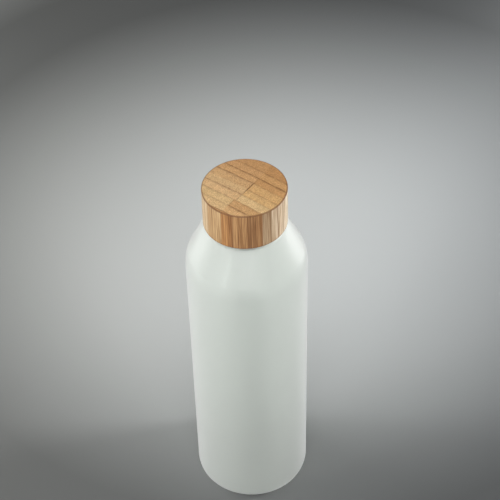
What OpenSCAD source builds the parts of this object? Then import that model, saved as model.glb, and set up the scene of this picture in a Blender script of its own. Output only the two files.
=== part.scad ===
// Frosted glass water bottle with a screw-on bamboo lid.
// The origin is the centre of the ring that the bottle stands on, and +Z is up.
// The thread is right-handed: the lid unscrews counter-clockwise, seen from above.

/* [Bottle] */
// Height of the whole bottle with its lid on
total_h = 220; // [200:5:250]
// Diameter of the glass body
body_d = 65; // [60:1:75]
// Thickness of the glass wall
wall_t = 2.2; // [1.8:0.1:3]
// Thickness of the glass base
base_t = 4.5; // [3:0.5:7]
// Radius of the round heel at the foot of the body
heel_r = 6; // [4:0.5:7]
// Height of the shallow hollow under the base
push_up = 2.5; // [1:0.5:3]

/* [Shoulder] */
// Lean of the conical shoulder from the vertical, in degrees
shoulder_lean = 26; // [24:1:32]
// Radius of the bend between the shoulder and the body
shoulder_r = 21; // [12:1:24]

/* [Neck] */
// Diameter of the mouth
mouth_d = 28; // [26:0.5:29]
// Diameter of the neck between its threads
neck_d = 33.2; // [33:0.1:33.5]
// Rise of the glass thread above the neck
thread_rise = 1.2; // [0.8:0.1:1.2]
// Distance that the lid rises in one turn
thread_pitch = 4; // [4:0.1:4.5]
// Length of the thread in turns
thread_turns = 1.5; // [1:0.25:1.75]

/* [Lid] */
// Diameter of the bamboo lid
lid_d = 44; // [44:0.5:46]
// Height of the bamboo lid
lid_h = 22.5; // [22:0.5:25]
// Thickness of the bamboo wall
lid_wall_t = 2.6; // [2:0.1:2.6]
// Thickness of the bamboo top
lid_top_t = 3; // [2.5:0.1:3.5]
// Thickness of the plastic liner's top
liner_top_t = 1.15; // [0.9:0.05:1.5]
// Thickness of the steel disc inside the lid
disc_t = 0.5; // [0.4:0.1:0.6]
// Thickness of the silicone sealing ring
ring_t = 1.6; // [1.4:0.1:1.8]

/* [Hidden] */

ROUND_FN = 180;        // facets round a full turn where a mesh is shown
ARC_STEP = 5;          // degrees between the points of a rounded corner
THREAD_STEPS = 48;     // sections in one turn of a thread
RUN_OUT = 40;          // degrees over which a thread fades at each end
BURY = 0.7;            // depth of a thread's root inside its wall
GLUE_GAP = 0.1;        // glue film between the liner and the bamboo
LID_GAP = 0.9;         // gap between the lid's rim and the glass ledge
RING_GAP = 0.3;        // play round the sealing ring
THREAD_GAP = 0.35;     // play between the two threads

// Glass body
body_r = body_d / 2;
inner_r = body_r - wall_t;
foot_r = body_r - 9.5;           // inner edge of the standing ring
dome_r = foot_r - 9;             // edge of the flat middle of the base
dome_bend_r = 8;                 // bend between that middle and its slope
foot_bend_r = 1.5;               // bend between the slope and the standing ring
inner_heel_r = 6;

// Heights in the lid, from the top down
lid_r = lid_d / 2;
lid_z = total_h - lid_h;
liner_top_z = total_h - lid_top_t;
disc_top_z = liner_top_z - liner_top_t;
ring_top_z = disc_top_z - disc_t;
mouth_z = ring_top_z - ring_t;

// Neck and shoulder
neck_r = neck_d / 2;
mouth_r = mouth_d / 2;
lip_r = 0.9;                     // rounding of the lip
neck_root_r = 1.5;               // fillet between the ledge and the neck
ledge_bend_r = 2.5;              // bend between the shoulder and the ledge
ledge_t = 3;                     // thickness of the glass under the ledge
ledge_z = lid_z - LID_GAP;
ledge_r = lid_r - 0.95;          // where the shoulder's cone would meet the ledge
bend_z = ledge_z - (body_r - ledge_r) / tan(shoulder_lean);
inner_bend_z = bend_z - wall_t * tan(shoulder_lean / 2);
inner_ledge_z = ledge_z - ledge_t;
inner_ledge_r = inner_r - (inner_ledge_z - inner_bend_z) * tan(shoulder_lean);

// Threads: each ridge is a trapezium whose crest is narrower than its base by its rise
thread_base_w = 2.2;
thread_end_z = mouth_z - 3.2;    // middle of the ridge at its upper end
thread_start_z = thread_end_z - thread_pitch * thread_turns;
liner_bore_r = neck_r + thread_rise + THREAD_GAP;
liner_rise = thread_rise - 0.05;
liner_base_w = 2;
// The lid's ridge lies under the glass ridge, where it bears when the lid is tight
ridge_drop = (thread_base_w + liner_base_w - thread_rise - THREAD_GAP) / 2 + THREAD_GAP;

// Lid
edge_r = 0.5;                    // softened edges of the bamboo
rim_r = 0.4;                     // softened edges of the liner's rim
rim_inset = 0.5;                 // how far the liner's rim stands inside the bamboo
cap_bore_r = lid_r - lid_wall_t;
liner_r = cap_bore_r - GLUE_GAP;
disc_r = liner_bore_r - 0.2;
disc_step = 0.6;                 // how far the disc's stamped middle stands down
disc_step_r = mouth_r - 2;       // radius of that middle
disc_bend_r = 0.4;               // bend of the sheet on the inside of the step
ring_r = liner_bore_r - RING_GAP;
ring_hole_r = mouth_r - 0.6;
ring_edge_r = 0.3;
bead_r = neck_r + 0.7;           // bead in the liner that keeps the ring in
bead_h = 0.8;                    // height of that bead, and of the slope below it
bead_edge_r = 0.2;
bead_z = mouth_z - RING_GAP - bead_h;

function unit(v) = v / norm(v);

function turned(v, a) = [v.x * cos(a) - v.y * sin(a), v.x * sin(a) + v.y * cos(a)];

// The points that round the corner b of the path a, b, c with an arc
function corner_arc(a, b, c, radius) =
    let (
        to_a = unit(a - b),
        to_c = unit(c - b),
        half = acos(to_a * to_c) / 2,
        centre = b + unit(to_a + to_c) * radius / sin(half),
        first = b + to_a * radius / tan(half) - centre,
        sweep = (cross(to_a, to_c) < 0 ? 1 : -1) * (180 - 2 * half),
        steps = ceil(abs(sweep) / ARC_STEP)
    )
    [for (i = [0:steps]) centre + turned(first, sweep * i / steps)];

// An outline whose corners [r, z, radius] are rounded
function rounded(corners) =
    let (n = len(corners), at = [for (k = corners) [k[0], k[1]]])
    [
        for (i = [0:n - 1])
            each corners[i][2] == 0
                ? [at[i]]
                : corner_arc(at[(i + n - 1) % n], at[i], at[(i + 1) % n], corners[i][2])
    ];

module turned_solid(corners) {
    rotate_extrude($fn = ROUND_FN) polygon(rounded(corners));
}

// How much of its full rise a thread has at an angle along it, from 0 to 1
function fade(angle, length) = min(1, angle / RUN_OUT, (length - angle) / RUN_OUT);

// Four corners of the thread's section at one angle; side is 1 outside a wall, -1 inside
function thread_section(wall_r, rise, base_w, side, z, share) =
    let (
        top = -BURY / 2 + (rise + BURY / 2) * share,
        crest_w = base_w - rise
    )
    [
        [wall_r - side * BURY, z - side * base_w / 2],
        [wall_r + side * top, z - side * crest_w / 2],
        [wall_r + side * top, z + side * crest_w / 2],
        [wall_r - side * BURY, z + side * base_w / 2]
    ];

// A right-handed helical ridge on a wall of radius wall_r, its lower end at start_z
module thread(wall_r, rise, base_w, side, start_z) {
    length = 360 * thread_turns;
    steps = ceil(THREAD_STEPS * thread_turns);
    points = [
        for (i = [0:steps])
            let (
                a = length * i / steps,
                z = start_z + thread_pitch * a / 360
            )
            for (p = thread_section(wall_r, rise, base_w, side, z, fade(a, length)))
                [p[0] * cos(a), p[0] * sin(a), p[1]]
    ];
    sides = [
        for (i = [0:steps - 1])
            for (k = [0:3])
                let (a = 4 * i + k, b = 4 * i + (k + 1) % 4)
                each [[a, b, b + 4], [a, b + 4, a + 4]]
    ];
    last = 4 * steps;
    ends = [[3, 2, 1, 0], [last, last + 1, last + 2, last + 3]];
    polyhedron(points, concat(sides, ends));
}

// One piece of blown glass: domed base, straight body, conical shoulder and threaded neck
module glass_bottle() {
    color("#c9d2c8", 0.9) {
        turned_solid([
            [0, push_up, 0],
            [dome_r, push_up, dome_bend_r],
            [foot_r, 0, foot_bend_r],
            [body_r, 0, heel_r],
            [body_r, bend_z, shoulder_r],
            [ledge_r, ledge_z, ledge_bend_r],
            [neck_r, ledge_z, neck_root_r],
            [neck_r, mouth_z, lip_r],
            [mouth_r, mouth_z, lip_r],
            [mouth_r, inner_ledge_z, ledge_t],
            [inner_ledge_r, inner_ledge_z, ledge_t],
            [inner_r, inner_bend_z, shoulder_r - wall_t],
            [inner_r, base_t, inner_heel_r],
            [dome_r, push_up + base_t, dome_bend_r],
            [0, push_up + base_t, 0]
        ]);
        thread(neck_r, thread_rise, thread_base_w, 1, thread_start_z);
    }
}

// Turned bamboo block, hollow from below
module bamboo_cap() {
    color("#b98a58")
        turned_solid([
            [0, liner_top_z, 0],
            [cap_bore_r, liner_top_z, 0],
            [cap_bore_r, lid_z, edge_r],
            [lid_r, lid_z, edge_r],
            [lid_r, total_h, edge_r],
            [0, total_h, 0]
        ]);
}

// Moulded plastic cup glued into the bamboo, with the lid's thread inside it
module threaded_liner() {
    rim_z = lid_z + rim_inset;
    color("#e8e6df") {
        turned_solid([
            [0, disc_top_z, 0],
            [liner_bore_r, disc_top_z, 0],
            [liner_bore_r, mouth_z, 0],
            [bead_r, bead_z + bead_h, bead_edge_r],
            [bead_r, bead_z, bead_edge_r],
            [liner_bore_r, bead_z - bead_h, 0],
            [liner_bore_r, rim_z, rim_r],
            [liner_r, rim_z, rim_r],
            [liner_r, liner_top_z, 0],
            [0, liner_top_z, 0]
        ]);
        thread(liner_bore_r, liner_rise, liner_base_w, -1, thread_start_z - ridge_drop);
    }
}

// Pressed stainless disc that closes the lid, its middle stamped down towards the mouth
module steel_disc() {
    color("#c8cacb")
        turned_solid([
            [0, ring_top_z - disc_step, 0],
            [disc_step_r, ring_top_z - disc_step, disc_bend_r],
            [disc_step_r + disc_step, ring_top_z, disc_bend_r],
            [disc_r, ring_top_z, 0],
            [disc_r, disc_top_z, 0],
            [disc_step_r + disc_step, disc_top_z, 2 * disc_bend_r],
            [disc_step_r, disc_top_z - disc_step, 2 * disc_bend_r],
            [0, disc_top_z - disc_step, 0]
        ]);
}

// Flat silicone ring that the lid presses on the glass lip
module sealing_ring() {
    color("#f1f1ec")
        turned_solid([
            [ring_hole_r, mouth_z, ring_edge_r],
            [ring_r, mouth_z, ring_edge_r],
            [ring_r, ring_top_z, ring_edge_r],
            [ring_hole_r, ring_top_z, ring_edge_r]
        ]);
}

glass_bottle();
bamboo_cap();
threaded_liner();
steel_disc();
sealing_ring();
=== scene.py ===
"""The looks of the frosted glass water bottle with its screw-on bamboo lid, around the CAD frame."""

import math

import bpy
from mathutils import Matrix, Vector


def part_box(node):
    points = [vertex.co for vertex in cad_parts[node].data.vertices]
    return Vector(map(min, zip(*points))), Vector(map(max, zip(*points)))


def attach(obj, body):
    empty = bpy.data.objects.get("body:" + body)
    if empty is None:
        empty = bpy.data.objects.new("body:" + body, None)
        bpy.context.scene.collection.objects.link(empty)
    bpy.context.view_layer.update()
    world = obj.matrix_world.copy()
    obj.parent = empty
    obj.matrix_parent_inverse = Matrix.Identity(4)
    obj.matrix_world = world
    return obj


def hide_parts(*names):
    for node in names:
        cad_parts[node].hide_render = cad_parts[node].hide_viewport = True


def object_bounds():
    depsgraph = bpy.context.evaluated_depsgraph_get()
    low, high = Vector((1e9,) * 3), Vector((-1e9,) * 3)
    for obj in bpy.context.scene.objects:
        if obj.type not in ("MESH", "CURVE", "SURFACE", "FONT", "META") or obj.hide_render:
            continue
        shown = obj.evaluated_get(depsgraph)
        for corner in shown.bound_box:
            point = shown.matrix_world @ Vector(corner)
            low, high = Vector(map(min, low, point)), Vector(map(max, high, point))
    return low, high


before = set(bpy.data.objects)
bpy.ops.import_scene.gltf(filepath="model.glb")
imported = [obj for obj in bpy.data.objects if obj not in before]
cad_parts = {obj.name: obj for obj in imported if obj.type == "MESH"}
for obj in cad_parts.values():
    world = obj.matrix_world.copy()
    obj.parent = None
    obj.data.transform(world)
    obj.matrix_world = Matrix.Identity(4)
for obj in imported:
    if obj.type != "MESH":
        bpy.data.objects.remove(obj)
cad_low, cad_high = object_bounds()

MM = 0.001

# ---------------------------------------------------------------------------------------------
# Sizes, in metres. What the frame gives is read from it, and the rest repeats the CAD design.

TOTAL_H = cad_high.z
BOTTLE_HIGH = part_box("glass_bottle")[1]
CAP_LOW, CAP_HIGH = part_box("bamboo_cap")
LINER_LOW, LINER_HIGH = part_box("threaded_liner")
DISC_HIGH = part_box("steel_disc")[1]
RING_LOW, RING_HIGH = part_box("sealing_ring")

BODY_R = BOTTLE_HIGH.x
WALL_T = 2.2 * MM
INNER_R = BODY_R - WALL_T
BASE_T = 4.5 * MM
PUSH_UP = 2.5 * MM
HEEL_R = 6 * MM
FOOT_R = BODY_R - 9.5 * MM
DOME_R = FOOT_R - 9 * MM

SHOULDER_LEAN = math.radians(26)
SHOULDER_R = 21 * MM
MOUTH_Z = BOTTLE_HIGH.z
MOUTH_R = 14 * MM
NECK_R = 16.6 * MM
LID_R = CAP_HIGH.x
LID_Z = CAP_LOW.z
LEDGE_Z = LID_Z - 0.9 * MM
LEDGE_R = LID_R - 0.95 * MM
LEDGE_T = 3 * MM
BEND_Z = LEDGE_Z - (BODY_R - LEDGE_R) / math.tan(SHOULDER_LEAN)
# The blown shoulder meets the body in a soft ring-shaped crease, and leans less below it
CREASE_R = BODY_R - 1.8 * MM
CREASE_Z = BEND_Z + (BODY_R - CREASE_R) / math.tan(SHOULDER_LEAN)
HIP_LEAN = math.radians(19)
HIP_Z = CREASE_Z - (BODY_R - CREASE_R) / math.tan(HIP_LEAN)
HIP_BEND_R = 23 * MM
INNER_BEND_Z = BEND_Z - WALL_T * math.tan(SHOULDER_LEAN / 2)
INNER_LEDGE_Z = LEDGE_Z - LEDGE_T
INNER_LEDGE_R = INNER_R - (INNER_LEDGE_Z - INNER_BEND_Z) * math.tan(SHOULDER_LEAN)

PITCH = 4 * MM
TURNS = 1.5
THREAD_RISE = 1.2 * MM
THREAD_BASE_W = 2.2 * MM
THREAD_Z = MOUTH_Z - 3.2 * MM - PITCH * TURNS      # middle of the glass ridge at its lower end
LINER_BORE_R = NECK_R + THREAD_RISE + 0.35 * MM
LINER_RISE = 1.15 * MM
LINER_BASE_W = 2 * MM
RIDGE_DROP = 1.675 * MM                            # from the glass ridge down to the liner's

CAP_BORE_R = LID_R - 2.6 * MM
LINER_R = LINER_HIGH.x
BEAD_R = NECK_R + 0.7 * MM
BEAD_H = 0.8 * MM
BEAD_Z = MOUTH_Z - 1.1 * MM
DISC_R = DISC_HIGH.x
DISC_T = 0.5 * MM
DISC_STEP_R = MOUTH_R - 2 * MM
DISC_STEP = 0.6 * MM
RING_R = RING_HIGH.x
RING_HOLE_R = MOUTH_R - 0.6 * MM

# How finely the turned meshes are cut: faces round the axis, and height of a face on a thread
FACES_WIDE, FACES_SMALL = 288, 192
THREAD_STEP = 0.16 * MM

# ---------------------------------------------------------------------------------------------
# Turned pieces


def corner_arc(a, b, c, radius, step):
    """Points that round the corner b of the path a, b, c, one about every step radians."""
    to_a, to_c = (a - b).normalized(), (c - b).normalized()
    half = to_a.angle(to_c) / 2
    centre = b + (to_a + to_c).normalized() * radius / math.sin(half)
    first = b + to_a * radius / math.tan(half) - centre
    side = 1 if to_a.x * to_c.y - to_a.y * to_c.x < 0 else -1
    sweep = side * (math.pi - 2 * half)
    steps = max(2, math.ceil(abs(sweep) / step))
    turns = [sweep * i / steps for i in range(steps + 1)]
    return [centre + Matrix.Rotation(t, 2) @ first for t in turns]


def outline(corners, step=math.radians(4), longest=6 * MM, fine=None):
    """The [r, z] points of a turned outline whose corners are (r, z, radius).

    Straight stretches are cut to at most longest, or to fine = (low z, high z, length) inside it.
    """
    at = [Vector(k[:2]) for k in corners]
    bent = []
    for i, (_, _, radius) in enumerate(corners):
        if radius == 0:
            bent.append(at[i])
        else:
            bent += corner_arc(at[i - 1], at[i], at[(i + 1) % len(at)], radius, step)
    points = []
    for a, b in zip(bent, bent[1:] + bent[:1]):
        points.append(a)
        piece = longest
        if fine and min(a.y, b.y) < fine[1] and max(a.y, b.y) > fine[0]:
            piece = fine[2]
        cuts = max(1, math.ceil((b - a).length / piece - 1e-6))
        points += [a.lerp(b, k / cuts) for k in range(1, cuts)]
    return points


def revolve(name, points, around, shift=None, second_from=None):
    """A closed solid of revolution; shift moves a point (r, z, angle) out or in along the radius.

    Outlines that reach the axis do so at their first and last points. Faces from the point
    number second_from onwards take the second material.
    """
    on_axis = points[0].x < 1e-9
    rows = points[1:-1] if on_axis else points
    second_row = len(rows) if second_from is None else second_from - on_axis
    verts, faces, slots = [], [], []
    for p in rows:
        for k in range(around):
            a = 2 * math.pi * k / around
            r = p.x + (shift(p.x, p.y, a) if shift else 0)
            verts.append((r * math.cos(a), r * math.sin(a), p.y))
    loops = list(zip(range(len(rows)), list(range(1, len(rows))) + [0]))
    if on_axis:
        loops.pop()
    for i, j in loops:
        for k in range(around):
            n = (k + 1) % around
            faces.append((i * around + k, i * around + n, j * around + n, j * around + k))
            slots.append(int(i >= second_row))
    if on_axis:
        for row, end, flip in ((0, points[0], True), (len(rows) - 1, points[-1], False)):
            tip = len(verts)
            verts.append((0, 0, end.y))
            for k in range(around):
                a, b = row * around + k, row * around + (k + 1) % around
                faces.append((tip, b, a) if flip else (tip, a, b))
                slots.append(int(row >= second_row))
    mesh = bpy.data.meshes.new(name)
    mesh.from_pydata(verts, [], faces)
    mesh.polygons.foreach_set("use_smooth", [True] * len(faces))
    mesh.polygons.foreach_set("material_index", slots)
    mesh.validate()
    mesh.update()
    piece = bpy.data.objects.new(name, mesh)
    bpy.context.scene.collection.objects.link(piece)
    return piece


def smooth_step(low, high, x):
    t = min(1, max(0, (x - low) / (high - low)))
    return t * t * (3 - 2 * t)


def ridge(z, angle, start_z, base_w, rise):
    """Height of a rounded right-handed thread ridge at a height and an angle round the axis."""
    length = 2 * math.pi * TURNS
    fade_over = math.radians(40)
    best = 0
    for turn in range(math.ceil(TURNS)):
        along = angle + 2 * math.pi * turn
        if along > length:
            continue
        off = abs(z - start_z - PITCH * along / (2 * math.pi))
        share = 1 - smooth_step((base_w - rise) / 2 * 0.8, base_w / 2, off)
        fade = smooth_step(0, fade_over, min(along, length - along))
        best = max(best, rise * share * fade)
    return best


# ---------------------------------------------------------------------------------------------
# Materials


class Graph:
    """A material's node tree, with short calls for the nodes that the materials share."""

    def __init__(self, name):
        self.material = bpy.data.materials.new(name)
        self.material.use_nodes = True
        self.tree = self.material.node_tree
        self.shader = self.tree.nodes["Principled BSDF"]
        self.coords = self.tree.nodes.new("ShaderNodeTexCoord").outputs["Object"]

    def link(self, source, target):
        self.tree.links.new(source, target)

    def give(self, socket, value):
        if isinstance(value, bpy.types.NodeSocket):
            self.link(value, socket)
        elif value is not None:
            socket.default_value = value

    def settings(self, **values):
        for name, value in values.items():
            self.give(self.shader.inputs[name.replace("_", " ")], value)

    def math(self, operation, a, b=None, c=None, clamp=False):
        node = self.tree.nodes.new("ShaderNodeMath")
        node.operation, node.use_clamp = operation, clamp
        for socket, value in zip(node.inputs, (a, b, c)):
            self.give(socket, value)
        return node.outputs[0]

    def vector(self, operation, a, b=None, scale=None):
        node = self.tree.nodes.new("ShaderNodeVectorMath")
        node.operation = operation
        self.give(node.inputs[0], a)
        self.give(node.inputs[1], b)
        if scale is not None:
            self.give(node.inputs["Scale"], scale)
        return node.outputs["Value"] if operation in ("DOT_PRODUCT", "LENGTH") else node.outputs[0]

    def split(self, source):
        node = self.tree.nodes.new("ShaderNodeSeparateXYZ")
        self.link(source, node.inputs[0])
        return node.outputs

    def join(self, x=0.0, y=0.0, z=0.0):
        node = self.tree.nodes.new("ShaderNodeCombineXYZ")
        for socket, value in zip(node.inputs, (x, y, z)):
            self.give(socket, value)
        return node.outputs[0]

    def noise(self, source, scale, detail=2.0, roughness=0.5):
        node = self.tree.nodes.new("ShaderNodeTexNoise")
        self.give(node.inputs["Vector"], source)
        self.give(node.inputs["Scale"], scale)
        self.give(node.inputs["Detail"], detail)
        self.give(node.inputs["Roughness"], roughness)
        return node.outputs["Fac"]

    def cells(self, source, scale):
        """Distance to the middle of the nearest cell."""
        node = self.tree.nodes.new("ShaderNodeTexVoronoi")
        self.give(node.inputs["Vector"], source)
        self.give(node.inputs["Scale"], scale)
        return node.outputs["Distance"]

    def ramp(self, source, stops, interpolation="LINEAR"):
        node = self.tree.nodes.new("ShaderNodeValToRGB")
        node.color_ramp.interpolation = interpolation
        elements = node.color_ramp.elements
        while len(elements) < len(stops):
            elements.new(0.5)
        for element, (place, value) in zip(elements, stops):
            element.position = place
            grey = isinstance(value, (int, float))
            element.color = (value, value, value, 1) if grey else (*value, 1)
        self.give(node.inputs[0], source)
        return node.outputs[0]

    def spread(self, source, low, high, to_low=0.0, to_high=1.0):
        node = self.tree.nodes.new("ShaderNodeMapRange")
        for socket, value in zip(node.inputs, (source, low, high, to_low, to_high)):
            self.give(socket, value)
        return node.outputs[0]

    def mix(self, share, a, b, blend="MIX"):
        node = self.tree.nodes.new("ShaderNodeMix")
        node.data_type, node.blend_type = "RGBA", blend
        self.give(node.inputs[0], share)
        self.give(node.inputs[6], a)
        self.give(node.inputs[7], b)
        return node.outputs[2]

    def times(self, a, b):
        """Product of two colours."""
        return self.mix(1.0, a, b, "MULTIPLY")

    def bump(self, height, strength, distance):
        node = self.tree.nodes.new("ShaderNodeBump")
        node.inputs["Strength"].default_value = strength
        node.inputs["Distance"].default_value = distance
        self.link(height, node.inputs["Height"])
        self.link(node.outputs[0], self.shader.inputs["Normal"])


def hue(*rgb):
    """A linear colour from display values of 0 to 255."""
    return tuple(
        c / 255 / 12.92 if c <= 10 else ((c / 255 + 0.055) / 1.055) ** 2.4 for c in rgb
    )


def frosted_glass():
    """Etched outside of the glass: pale grey-green, satin, with a very fine frost."""
    g = Graph("etched_glass")
    frost = g.noise(g.coords, 9000, 3, 0.6)
    cloud = g.noise(g.coords, 60, 2, 0.5)
    tint = g.mix(cloud, (*hue(230, 235, 229), 1), (*hue(233, 238, 232), 1))
    g.settings(
        Base_Color=tint,
        Roughness=g.spread(frost, 0.3, 0.7, 0.38, 0.44),
        IOR=1.5,
        Specular_IOR_Level=0.35,
        Transmission_Weight=0.5,
        Sheen_Weight=1.0,
        Sheen_Roughness=0.35,
    )
    g.bump(frost, 0.12, 0.02 * MM)
    return g.material


def clear_glass():
    """Fire-polished inside of the bottle."""
    g = Graph("polished_glass")
    smear = g.noise(g.coords, 120, 3, 0.5)
    g.settings(
        Base_Color=(*hue(246, 251, 247), 1),
        Roughness=g.spread(smear, 0.3, 0.7, 0.03, 0.08),
        IOR=1.5,
        Transmission_Weight=1.0,
    )
    return g.material


# The bamboo block is glued up from upright strips, and a butt joint splits it into two halves.
# Lengths are in mm, and distances across the strips are from the axis.
STRIP_TURN = math.radians(-37)            # direction of the strips, seen from above, from +X
STRIP_SPAN = 24.0                         # distance to either end of the colour ramps
FAR_HALF_SLOPE = 0.045                    # the right half's strips drift by this share of the length
# A glue line is darkest in its middle, with a long shadow of dense fibres on its near side:
# (distance from the middle, darkness)
GLUE_LINE = ((-1.3, 0.0), (-0.35, 0.45), (0.1, 1.0), (0.5, 0.0))
# (far edge, end-grain tones of the left and right half, their side tones, which hold painted
#  sheen and painted side light, darkness of their glue lines at that edge)
FAR_EDGE, END_LEFT, END_RIGHT, SIDE_LEFT_AND_SHEEN, SIDE_RIGHT_AND_SHEEN, GLUE_LEFT, GLUE_RIGHT = range(7)
STRIPS = (
    (-20.5, (188, 147, 100), (190, 143, 94), (174, 140, 98), (169, 121, 72), 0.7, 0.7),
    (-15.4, (204, 171, 123), (201, 161, 112), (194, 167, 131), (167, 124, 79), 0.5, 0.95),
    (-10.4, (203, 171, 122), (191, 150, 101), (203, 184, 154), (154, 112, 71), 0.55, 0.4),
    (-5.3, (204, 168, 121), (206, 174, 125), (200, 178, 145), (164, 137, 106), 0.8, 0.35),
    (-0.6, (197, 163, 117), (201, 163, 110), (192, 166, 130), (190, 167, 139), 0.0, 0.45),
    (4.9, (192, 154, 107), (198, 158, 105), (188, 158, 118), (197, 174, 145), 0.9, 0.5),
    (9.5, (193, 151, 102), (185, 141, 90), (181, 148, 106), (226, 208, 179), 0.95, 1.0),
    (14.5, (188, 145, 97), (187, 144, 93), (174, 137, 94), (222, 205, 177), 0.6, 0.7),
    (STRIP_SPAN, (180, 137, 89), (177, 132, 83), (168, 130, 88), (200, 175, 138), 0.0, 0.0),
)
JOINT_AT = 2.3                            # place of the butt joint along the strips
JOINT_STEP, JOINT_STEP_EDGE = -1.1, -10.4 # its step back, nearer than this distance across
# (distance across the strips, darkness of the joint)
JOINT_LINE = ((-17, 0.1), (-7, 0.55), (-4, 1), (4.9, 1), (6, 0.35), (16, 0.1))
END_GRAIN_TINT = (1.07, 1.065, 1.08)
GLUE_TONE = (104, 60, 24)


def ramp_place(across):
    """Place on a colour ramp of a distance across the strips."""
    return (across / STRIP_SPAN + 1) / 2


def strip_tones(g, place, column):
    """A flat tone for each strip, from a column of STRIPS."""
    edges = [-STRIP_SPAN] + [row[FAR_EDGE] for row in STRIPS[:-1]]
    stops = [(ramp_place(edge), hue(*row[column])) for edge, row in zip(edges, STRIPS)]
    return g.ramp(place, stops, "CONSTANT")


def glue_lines(g, place, column):
    """Darkness of the glue lines, from a column of STRIPS."""
    stops = [
        (ramp_place(row[FAR_EDGE] + off), share * row[column])
        for row in STRIPS[:-1]
        for off, share in GLUE_LINE
    ]
    return g.ramp(place, stops)


def end_grain(g, upright):
    """Fibre bundles cut across, as fine specks."""
    mottle = g.ramp(g.noise(upright, 0.4, 3, 0.6), ((0.35, 0.92), (0.65, 1.08)))
    specks = g.ramp(
        g.noise(upright, 2.1, 3, 0.75),
        ((0.36, (0.7, 0.61, 0.5)), (0.5, 1.0), (0.64, (1.24, 1.29, 1.36))),
    )
    bundles = g.ramp(g.cells(upright, 1.25), ((0.1, (0.8, 0.7, 0.6)), (0.3, 1.0)))
    return g.times(g.times(specks, mottle), bundles)


def long_grain(g, upright):
    """The same bundles cut lengthwise, as streaks."""
    fine = g.ramp(
        g.noise(upright, 2.4, 3, 0.7),
        ((0.37, (0.7, 0.61, 0.52)), (0.5, 1.0), (0.63, (1.2, 1.26, 1.33))),
    )
    broad = g.ramp(
        g.noise(upright, 1.2, 2, 0.6),
        ((0.36, (0.74, 0.66, 0.58)), (0.5, 1.0), (0.64, (1.14, 1.18, 1.23))),
    )
    return g.times(fine, broad)


def bamboo():
    """Laminated bamboo with upright fibres: end grain on top and fine streaks down the side."""
    g = Graph("bamboo_block")
    mm = g.vector("SCALE", g.coords, scale=1 / MM)
    x, y, z = g.split(mm)
    radius = g.vector("LENGTH", g.join(x, y))
    upright = g.vector("MULTIPLY", mm, (1, 1, 0.02))
    on_top = g.spread(z, TOTAL_H / MM - 0.5, TOTAL_H / MM - 0.15)
    along = g.vector("DOT_PRODUCT", mm, (math.cos(STRIP_TURN), math.sin(STRIP_TURN), 0))
    across = g.vector("DOT_PRODUCT", mm, (-math.sin(STRIP_TURN), math.cos(STRIP_TURN), 0))
    waver = g.spread(g.noise(upright, 0.3, 3, 0.55), 0.3, 0.7, -0.14, 0.14)
    across = g.math("ADD", across, waver)
    across_far = g.math("MULTIPLY_ADD", along, FAR_HALF_SLOPE, across)
    place_left = g.spread(across, -STRIP_SPAN, STRIP_SPAN)
    place_right = g.spread(across_far, -STRIP_SPAN, STRIP_SPAN)

    # The butt joint steps back where the strips of the near side begin
    near_side = g.math("LESS_THAN", across, JOINT_STEP_EDGE)
    joint_at = g.math("MULTIPLY_ADD", near_side, JOINT_STEP, JOINT_AT)
    past_joint = g.math("SUBTRACT", along, joint_at)
    half = g.math("GREATER_THAN", past_joint, 0)
    end_tone = g.mix(
        half, strip_tones(g, place_left, END_LEFT), strip_tones(g, place_right, END_RIGHT)
    )
    # The side tones hold painted sheen and painted side light as well as the bamboo's own colour
    side_tone_and_sheen = g.mix(
        half, strip_tones(g, place_left, SIDE_LEFT_AND_SHEEN), strip_tones(g, place_right, SIDE_RIGHT_AND_SHEEN)
    )

    # Glue lines are broken up on top, and on the side those of the left half are faint
    lines = g.mix(
        half, glue_lines(g, place_left, GLUE_LEFT), glue_lines(g, place_right, GLUE_RIGHT)
    )
    joint_near = g.spread(g.math("ABSOLUTE", past_joint), 0.15, 0.5, 1.0, 0.0)
    joint_dark = g.ramp(place_left, [(ramp_place(off), dark) for off, dark in JOINT_LINE])
    lines = g.math("MAXIMUM", lines, g.math("MULTIPLY", joint_near, joint_dark))
    broken = g.spread(g.noise(upright, 0.5, 4, 0.65), 0.36, 0.56, 0.45, 1.0)
    unbroken = g.math("MAXIMUM", broken, g.math("SUBTRACT", 1.0, on_top))
    lines = g.math("MULTIPLY", lines, unbroken, clamp=True)
    shown = g.math("MAXIMUM", on_top, g.spread(half, 0, 1, 0.25, 1.0))
    lines = g.math("MULTIPLY", lines, shown)

    end_tone = g.times(end_tone, g.times(end_grain(g, upright), (*END_GRAIN_TINT, 1)))
    tone = g.mix(on_top, g.times(side_tone_and_sheen, long_grain(g, upright)), end_tone)
    tone = g.mix(g.math("MULTIPLY", lines, 0.9), tone, (*hue(*GLUE_TONE), 1))

    # The rounded top edge and the foot of the side are darkened towards the glue tone
    top_edge = g.math(
        "MULTIPLY",
        g.spread(radius, LID_R / MM - 0.8, LID_R / MM - 0.35),
        g.spread(z, TOTAL_H / MM - 0.8, TOTAL_H / MM - 0.45),
    )
    foot_edge = g.spread(z, LID_Z / MM + 0.9, LID_Z / MM + 0.2)
    edge_darkening = g.math("MULTIPLY", g.math("MAXIMUM", top_edge, foot_edge), 0.75)
    tone = g.mix(edge_darkening, tone, (*hue(*GLUE_TONE), 1))
    g.settings(
        Base_Color=tone,
        Roughness=g.spread(on_top, 0, 1, 0.42, 0.62),
    )
    relief = g.math("SUBTRACT", g.noise(upright, 1.9, 3, 0.7), g.math("MULTIPLY", lines, 0.5))
    g.bump(relief, 0.3, 0.06 * MM)
    return g.material


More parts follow.
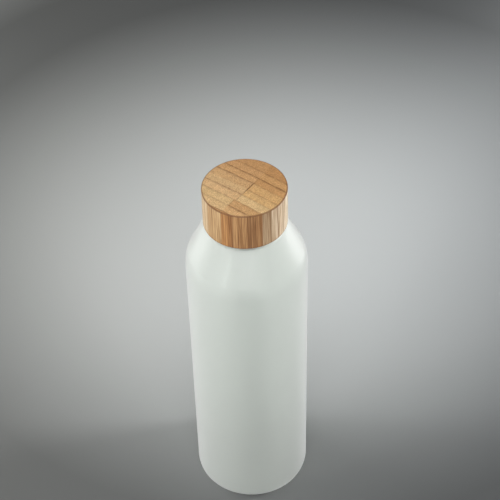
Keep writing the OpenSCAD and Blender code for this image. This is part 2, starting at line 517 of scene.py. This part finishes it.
def liner_plastic():
    """Natural polypropylene: milky, with the fine satin of the mould."""
    g = Graph("milky_plastic")
    satin = g.noise(g.coords, 2500, 3, 0.6)
    milk = g.noise(g.coords, 90, 2, 0.5)
    g.settings(
        Base_Color=g.mix(milk, (*hue(228, 226, 217), 1), (*hue(236, 234, 227), 1)),
        Roughness=g.spread(satin, 0.3, 0.7, 0.32, 0.44),
        Subsurface_Weight=0.15,
        Subsurface_Scale=1.5 * MM,
    )
    g.bump(satin, 0.1, 0.02 * MM)
    return g.material


def spun_steel():
    """Stainless sheet with faint rings left by spinning."""
    g = Graph("spun_steel")
    x, y, _ = g.split(g.coords)
    radius = g.vector("LENGTH", g.join(x, y))
    rings = g.noise(g.join(radius), 6000, 3, 0.6)
    g.settings(
        Base_Color=g.mix(rings, (*hue(196, 198, 200), 1), (*hue(214, 215, 216), 1)),
        Metallic=1.0,
        Roughness=g.spread(rings, 0.3, 0.7, 0.2, 0.32),
    )
    g.bump(rings, 0.15, 0.01 * MM)
    return g.material


def silicone():
    """Matt translucent white silicone with a trace of dust."""
    g = Graph("white_silicone")
    dust = g.noise(g.coords, 1500, 3, 0.6)
    g.settings(
        Base_Color=g.mix(dust, (*hue(226, 227, 223), 1), (*hue(240, 240, 237), 1)),
        Roughness=g.spread(dust, 0.3, 0.7, 0.5, 0.62),
        Subsurface_Weight=0.3,
        Subsurface_Scale=2 * MM,
    )
    g.bump(dust, 0.1, 0.02 * MM)
    return g.material


# Tones of the floor: a painted pool of light in the middle, a painted ring of shade round the pool,
# and the pale floor beyond
PAINTED_POOL_TONE, PAINTED_SHADE_TONE, FAR_TONE = 0.98, 0.17, 0.85
POOL_X, POOL_Y, POOL_R = 0.034, 0.218, 0.204
RING_FROM, RING_TO = 1.6, 2.8             # the ring fades out between these, in pool radii
PAPER_LEFT, PAPER_RIGHT = (0.975, 1.0, 0.965), (0.955, 1.0, 1.01)
PAPER_TURNS = -0.16, 0.18                 # the left tint turns into the right one between these
PAPER_GRAIN = 0.03


def floor_with_painted_light():
    """Pale paper with a painted pool of light behind the bottle, falling off softly all round into a
    painted ring of shade, and pale again beyond it.
    """
    g = Graph("floor_with_painted_light")
    from_pool = g.vector("SUBTRACT", g.coords, (POOL_X, POOL_Y, 0))
    away = g.vector("LENGTH", g.vector("SCALE", from_pool, scale=1 / POOL_R))
    # Painted light and shade: a bright pool that fades out, with a painted ring of shade round it
    fall = g.math("EXPONENT", g.math("MULTIPLY", g.math("POWER", away, 2.0), -1.0))
    around = g.spread(away, RING_FROM, RING_TO, PAINTED_SHADE_TONE, FAR_TONE)
    shade = g.math("MAXIMUM", g.math("MULTIPLY", fall, PAINTED_POOL_TONE), around)
    x, _, _ = g.split(g.coords)
    paper = g.mix(g.spread(x, *PAPER_TURNS), (*PAPER_LEFT, 1), (*PAPER_RIGHT, 1))
    grain = g.math("MULTIPLY", g.noise(g.coords, 40, 4, 0.6), PAPER_GRAIN)
    g.settings(
        Base_Color=g.times(g.mix(grain, paper, (1, 1, 1, 1)), shade),
        Roughness=0.8,
        Specular_IOR_Level=0.2,
    )
    return g.material


# ---------------------------------------------------------------------------------------------
# Pieces


def place(piece, body, node, slot_name, *materials):
    """Puts a finished piece on its body in place of its CAD node."""
    for material in materials:
        piece.data.materials.append(material)
    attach(piece, body)
    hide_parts(node)


def make_bottle():
    corners = [
        (0, PUSH_UP, 0),
        (DOME_R, PUSH_UP, 8 * MM),
        (FOOT_R, 0, 1.5 * MM),
        (BODY_R, 0, HEEL_R),
        (BODY_R, HIP_Z, HIP_BEND_R),
        (CREASE_R, CREASE_Z, 4 * MM),
        (LEDGE_R, LEDGE_Z, 2.5 * MM),
        (NECK_R, LEDGE_Z, 1.5 * MM),
        (NECK_R, MOUTH_Z, 0.9 * MM),
        (MOUTH_R, MOUTH_Z, 0.9 * MM),
        (MOUTH_R, INNER_LEDGE_Z, LEDGE_T),
        (INNER_LEDGE_R, INNER_LEDGE_Z, LEDGE_T),
        (INNER_R, INNER_BEND_Z, SHOULDER_R - WALL_T),
        (INNER_R, BASE_T, 6 * MM),
        (DOME_R, PUSH_UP + BASE_T, 8 * MM),
        (0, PUSH_UP + BASE_T, 0),
    ]

    def swell(r, z, angle):
        """The thread on the neck, and the slight waves that blowing leaves inside."""
        if abs(r - NECK_R) < 0.01 * MM:
            return ridge(z, angle, THREAD_Z, THREAD_BASE_W, THREAD_RISE)
        inside = MOUTH_R < r <= INNER_R + 0.01 * MM and BASE_T + 6 * MM < z < INNER_LEDGE_Z
        if inside and r > LEDGE_R:
            wave = math.sin(3 * angle + 60 * z) + 0.6 * math.sin(5 * angle - 95 * z + 1)
            return 0.04 * MM * wave
        return 0

    points = outline(corners, fine=(LEDGE_Z + 1.5 * MM, MOUTH_Z - 0.8 * MM, THREAD_STEP))
    inside_from = next(i for i, p in enumerate(points) if p.y > LEDGE_Z and p.x <= MOUTH_R + 1e-6)
    piece = revolve("bottle_glass", points, FACES_WIDE, swell, inside_from)
    place(piece, "bottle", "glass_bottle", "frosted_glass", frosted_glass(), clear_glass())


def make_cap():
    edge = 0.5 * MM
    corners = [
        (0, LINER_HIGH.z, 0),
        (CAP_BORE_R, LINER_HIGH.z, 0.3 * MM),
        (CAP_BORE_R, LID_Z, edge),
        (LID_R, LID_Z, edge),
        (LID_R, TOTAL_H, edge),
        (0, TOTAL_H, 0),
    ]
    piece = revolve("lid_bamboo", outline(corners, longest=1.5 * MM), FACES_WIDE)
    place(piece, "lid", "bamboo_cap", "bamboo", bamboo())


def make_liner():
    rim_z = LINER_LOW.z
    corners = [
        (0, DISC_HIGH.z, 0),
        (LINER_BORE_R, DISC_HIGH.z, 0.2 * MM),
        (LINER_BORE_R, MOUTH_Z, 0.2 * MM),
        (BEAD_R, BEAD_Z + BEAD_H, 0.25 * MM),
        (BEAD_R, BEAD_Z, 0.25 * MM),
        (LINER_BORE_R, BEAD_Z - BEAD_H, 0.3 * MM),
        (LINER_BORE_R, rim_z, 0.4 * MM),
        (LINER_R, rim_z, 0.4 * MM),
        (LINER_R, LINER_HIGH.z, 0.2 * MM),
        (0, LINER_HIGH.z, 0),
    ]

    def swell(r, z, angle):
        if abs(r - LINER_BORE_R) < 0.01 * MM and z < BEAD_Z - BEAD_H:
            return -ridge(z, angle, THREAD_Z - RIDGE_DROP, LINER_BASE_W, LINER_RISE)
        return 0

    points = outline(corners, fine=(rim_z + 0.5 * MM, BEAD_Z, THREAD_STEP))
    piece = revolve("lid_liner", points, FACES_WIDE, swell)
    place(piece, "lid", "threaded_liner", "liner_plastic", liner_plastic())


def make_disc():
    low, high = DISC_HIGH.z - DISC_T, DISC_HIGH.z
    corners = [
        (0, low - DISC_STEP, 0),
        (DISC_STEP_R, low - DISC_STEP, 0.4 * MM),
        (DISC_STEP_R + DISC_STEP, low, 0.4 * MM),
        (DISC_R, low, 0.15 * MM),
        (DISC_R, high, 0.15 * MM),
        (DISC_STEP_R + DISC_STEP, high, 0.8 * MM),
        (DISC_STEP_R, high - DISC_STEP, 0.8 * MM),
        (0, high - DISC_STEP, 0),
    ]
    piece = revolve("lid_steel_disc", outline(corners, longest=2 * MM), FACES_SMALL)
    place(piece, "lid", "steel_disc", "steel", spun_steel())


def make_ring():
    edge = 0.4 * MM
    corners = [
        (RING_HOLE_R, RING_LOW.z, edge),
        (RING_R, RING_LOW.z, edge),
        (RING_R, RING_HIGH.z, edge),
        (RING_HOLE_R, RING_HIGH.z, edge),
    ]
    points = outline(corners, step=math.radians(12), longest=1 * MM)
    piece = revolve("lid_sealing_ring", points, FACES_SMALL)
    place(piece, "seal", "sealing_ring", "silicone", silicone())


# ---------------------------------------------------------------------------------------------
# Stage


def make_floor():
    half = 4.0
    corners = [(-half, -half, 0), (half, -half, 0), (half, half, 0), (-half, half, 0)]
    mesh = bpy.data.meshes.new("floor")
    mesh.from_pydata(corners, [], [(0, 1, 2, 3)])
    mesh.materials.append(floor_with_painted_light())
    floor = bpy.data.objects.new("floor", mesh)
    bpy.context.scene.collection.objects.link(floor)


WORLD_STRENGTH = 0.12


def hang(data, at, aim):
    """Puts a lamp at a place and turns it towards its aim."""
    lamp = bpy.data.objects.new(data.name, data)
    lamp.location = at
    lamp.rotation_mode = "QUATERNION"
    lamp.rotation_quaternion = (Vector(aim) - Vector(at)).to_track_quat("-Z", "Y")
    bpy.context.scene.collection.objects.link(lamp)


def softbox(name, at, aim, size, power):
    """A flat rectangular lamp, with its size in metres and its power in watts."""
    data = bpy.data.lights.new(name, "AREA")
    data.shape = "RECTANGLE"
    data.size, data.size_y = size
    data.energy = power
    hang(data, at, aim)


def beam(name, at, aim, degrees, source_r, power):
    """A spot whose wide soft edge leaves what is away from its aim darker."""
    data = bpy.data.lights.new(name, "SPOT")
    data.spot_size = math.radians(degrees)
    data.spot_blend = 1.0
    data.shadow_soft_size = source_r
    data.energy = power
    hang(data, at, aim)


def make_lights():
    chest, shoulder = (0, 0, 0.12), (0, 0, 0.17)
    softbox("front_softbox", (0, -1.20, 0.60), chest, (1.0, 0.6), 9.8)
    softbox("left_front_softbox", (-0.80, -0.90, 0.30), (0, 0, 0.14), (0.5, 0.4), 3.2)
    softbox("left_high_softbox", (-0.65, 0.10, 0.62), (0, 0.02, 0.16), (0.7, 0.4), 2.8)
    softbox("left_near_softbox", (-0.45, 0.22, 0.13), (0, 0, 0.15), (0.45, 0.24), 0.9)
    softbox("right_softbox", (0.75, 0.15, 0.20), (0, 0.02, 0.16), (0.7, 0.4), 0.46)
    softbox("right_foot_softbox", (0.42, 0.30, 0.06), chest, (0.45, 0.12), 0.85)
    beam("right_beam", (0.80, 0.10, 0.55), shoulder, 20, 0.15, 53.6)
    beam("left_beam", (-0.80, 0.10, 0.55), shoulder, 20, 0.15, 16.6)
    world = bpy.data.worlds.new("studio")
    world.use_nodes = True
    shade = world.node_tree.nodes["Background"].inputs
    shade["Color"].default_value = (1, 1, 1, 1)
    shade["Strength"].default_value = WORLD_STRENGTH
    bpy.context.scene.world = world
    bpy.context.scene.view_settings.view_transform = "Standard"


CAMERA_AT = Vector((0, -0.5473, TOTAL_H + 0.4930))
CAMERA_PITCH, CAMERA_YAW, CAMERA_ROLL = (math.radians(a) for a in (-44.49, 0.204, -1.588))
LENS_MM, SENSOR_MM = 104.9, 36


def make_camera():
    """A long lens looking down at the lid from in front, rolled very slightly."""
    data = bpy.data.cameras.new("camera")
    data.lens, data.sensor_width = LENS_MM, SENSOR_MM
    data.clip_start, data.clip_end = 0.05, 20
    camera = bpy.data.objects.new("camera", data)
    level = math.cos(CAMERA_PITCH)
    forward = Vector(
        (math.sin(CAMERA_YAW) * level, math.cos(CAMERA_YAW) * level, math.sin(CAMERA_PITCH))
    )
    right = forward.cross(Vector((0, 0, 1))).normalized()
    up = right.cross(forward)
    turned_right = right * math.cos(CAMERA_ROLL) + up * math.sin(CAMERA_ROLL)
    turned_up = up * math.cos(CAMERA_ROLL) - right * math.sin(CAMERA_ROLL)
    turn = Matrix((turned_right, turned_up, -forward)).transposed()
    camera.matrix_world = Matrix.Translation(CAMERA_AT) @ turn.to_4x4()
    bpy.context.scene.collection.objects.link(camera)
    bpy.context.scene.camera = camera


make_camera()
make_bottle()
make_cap()
make_liner()
make_disc()
make_ring()
make_floor()
make_lights()
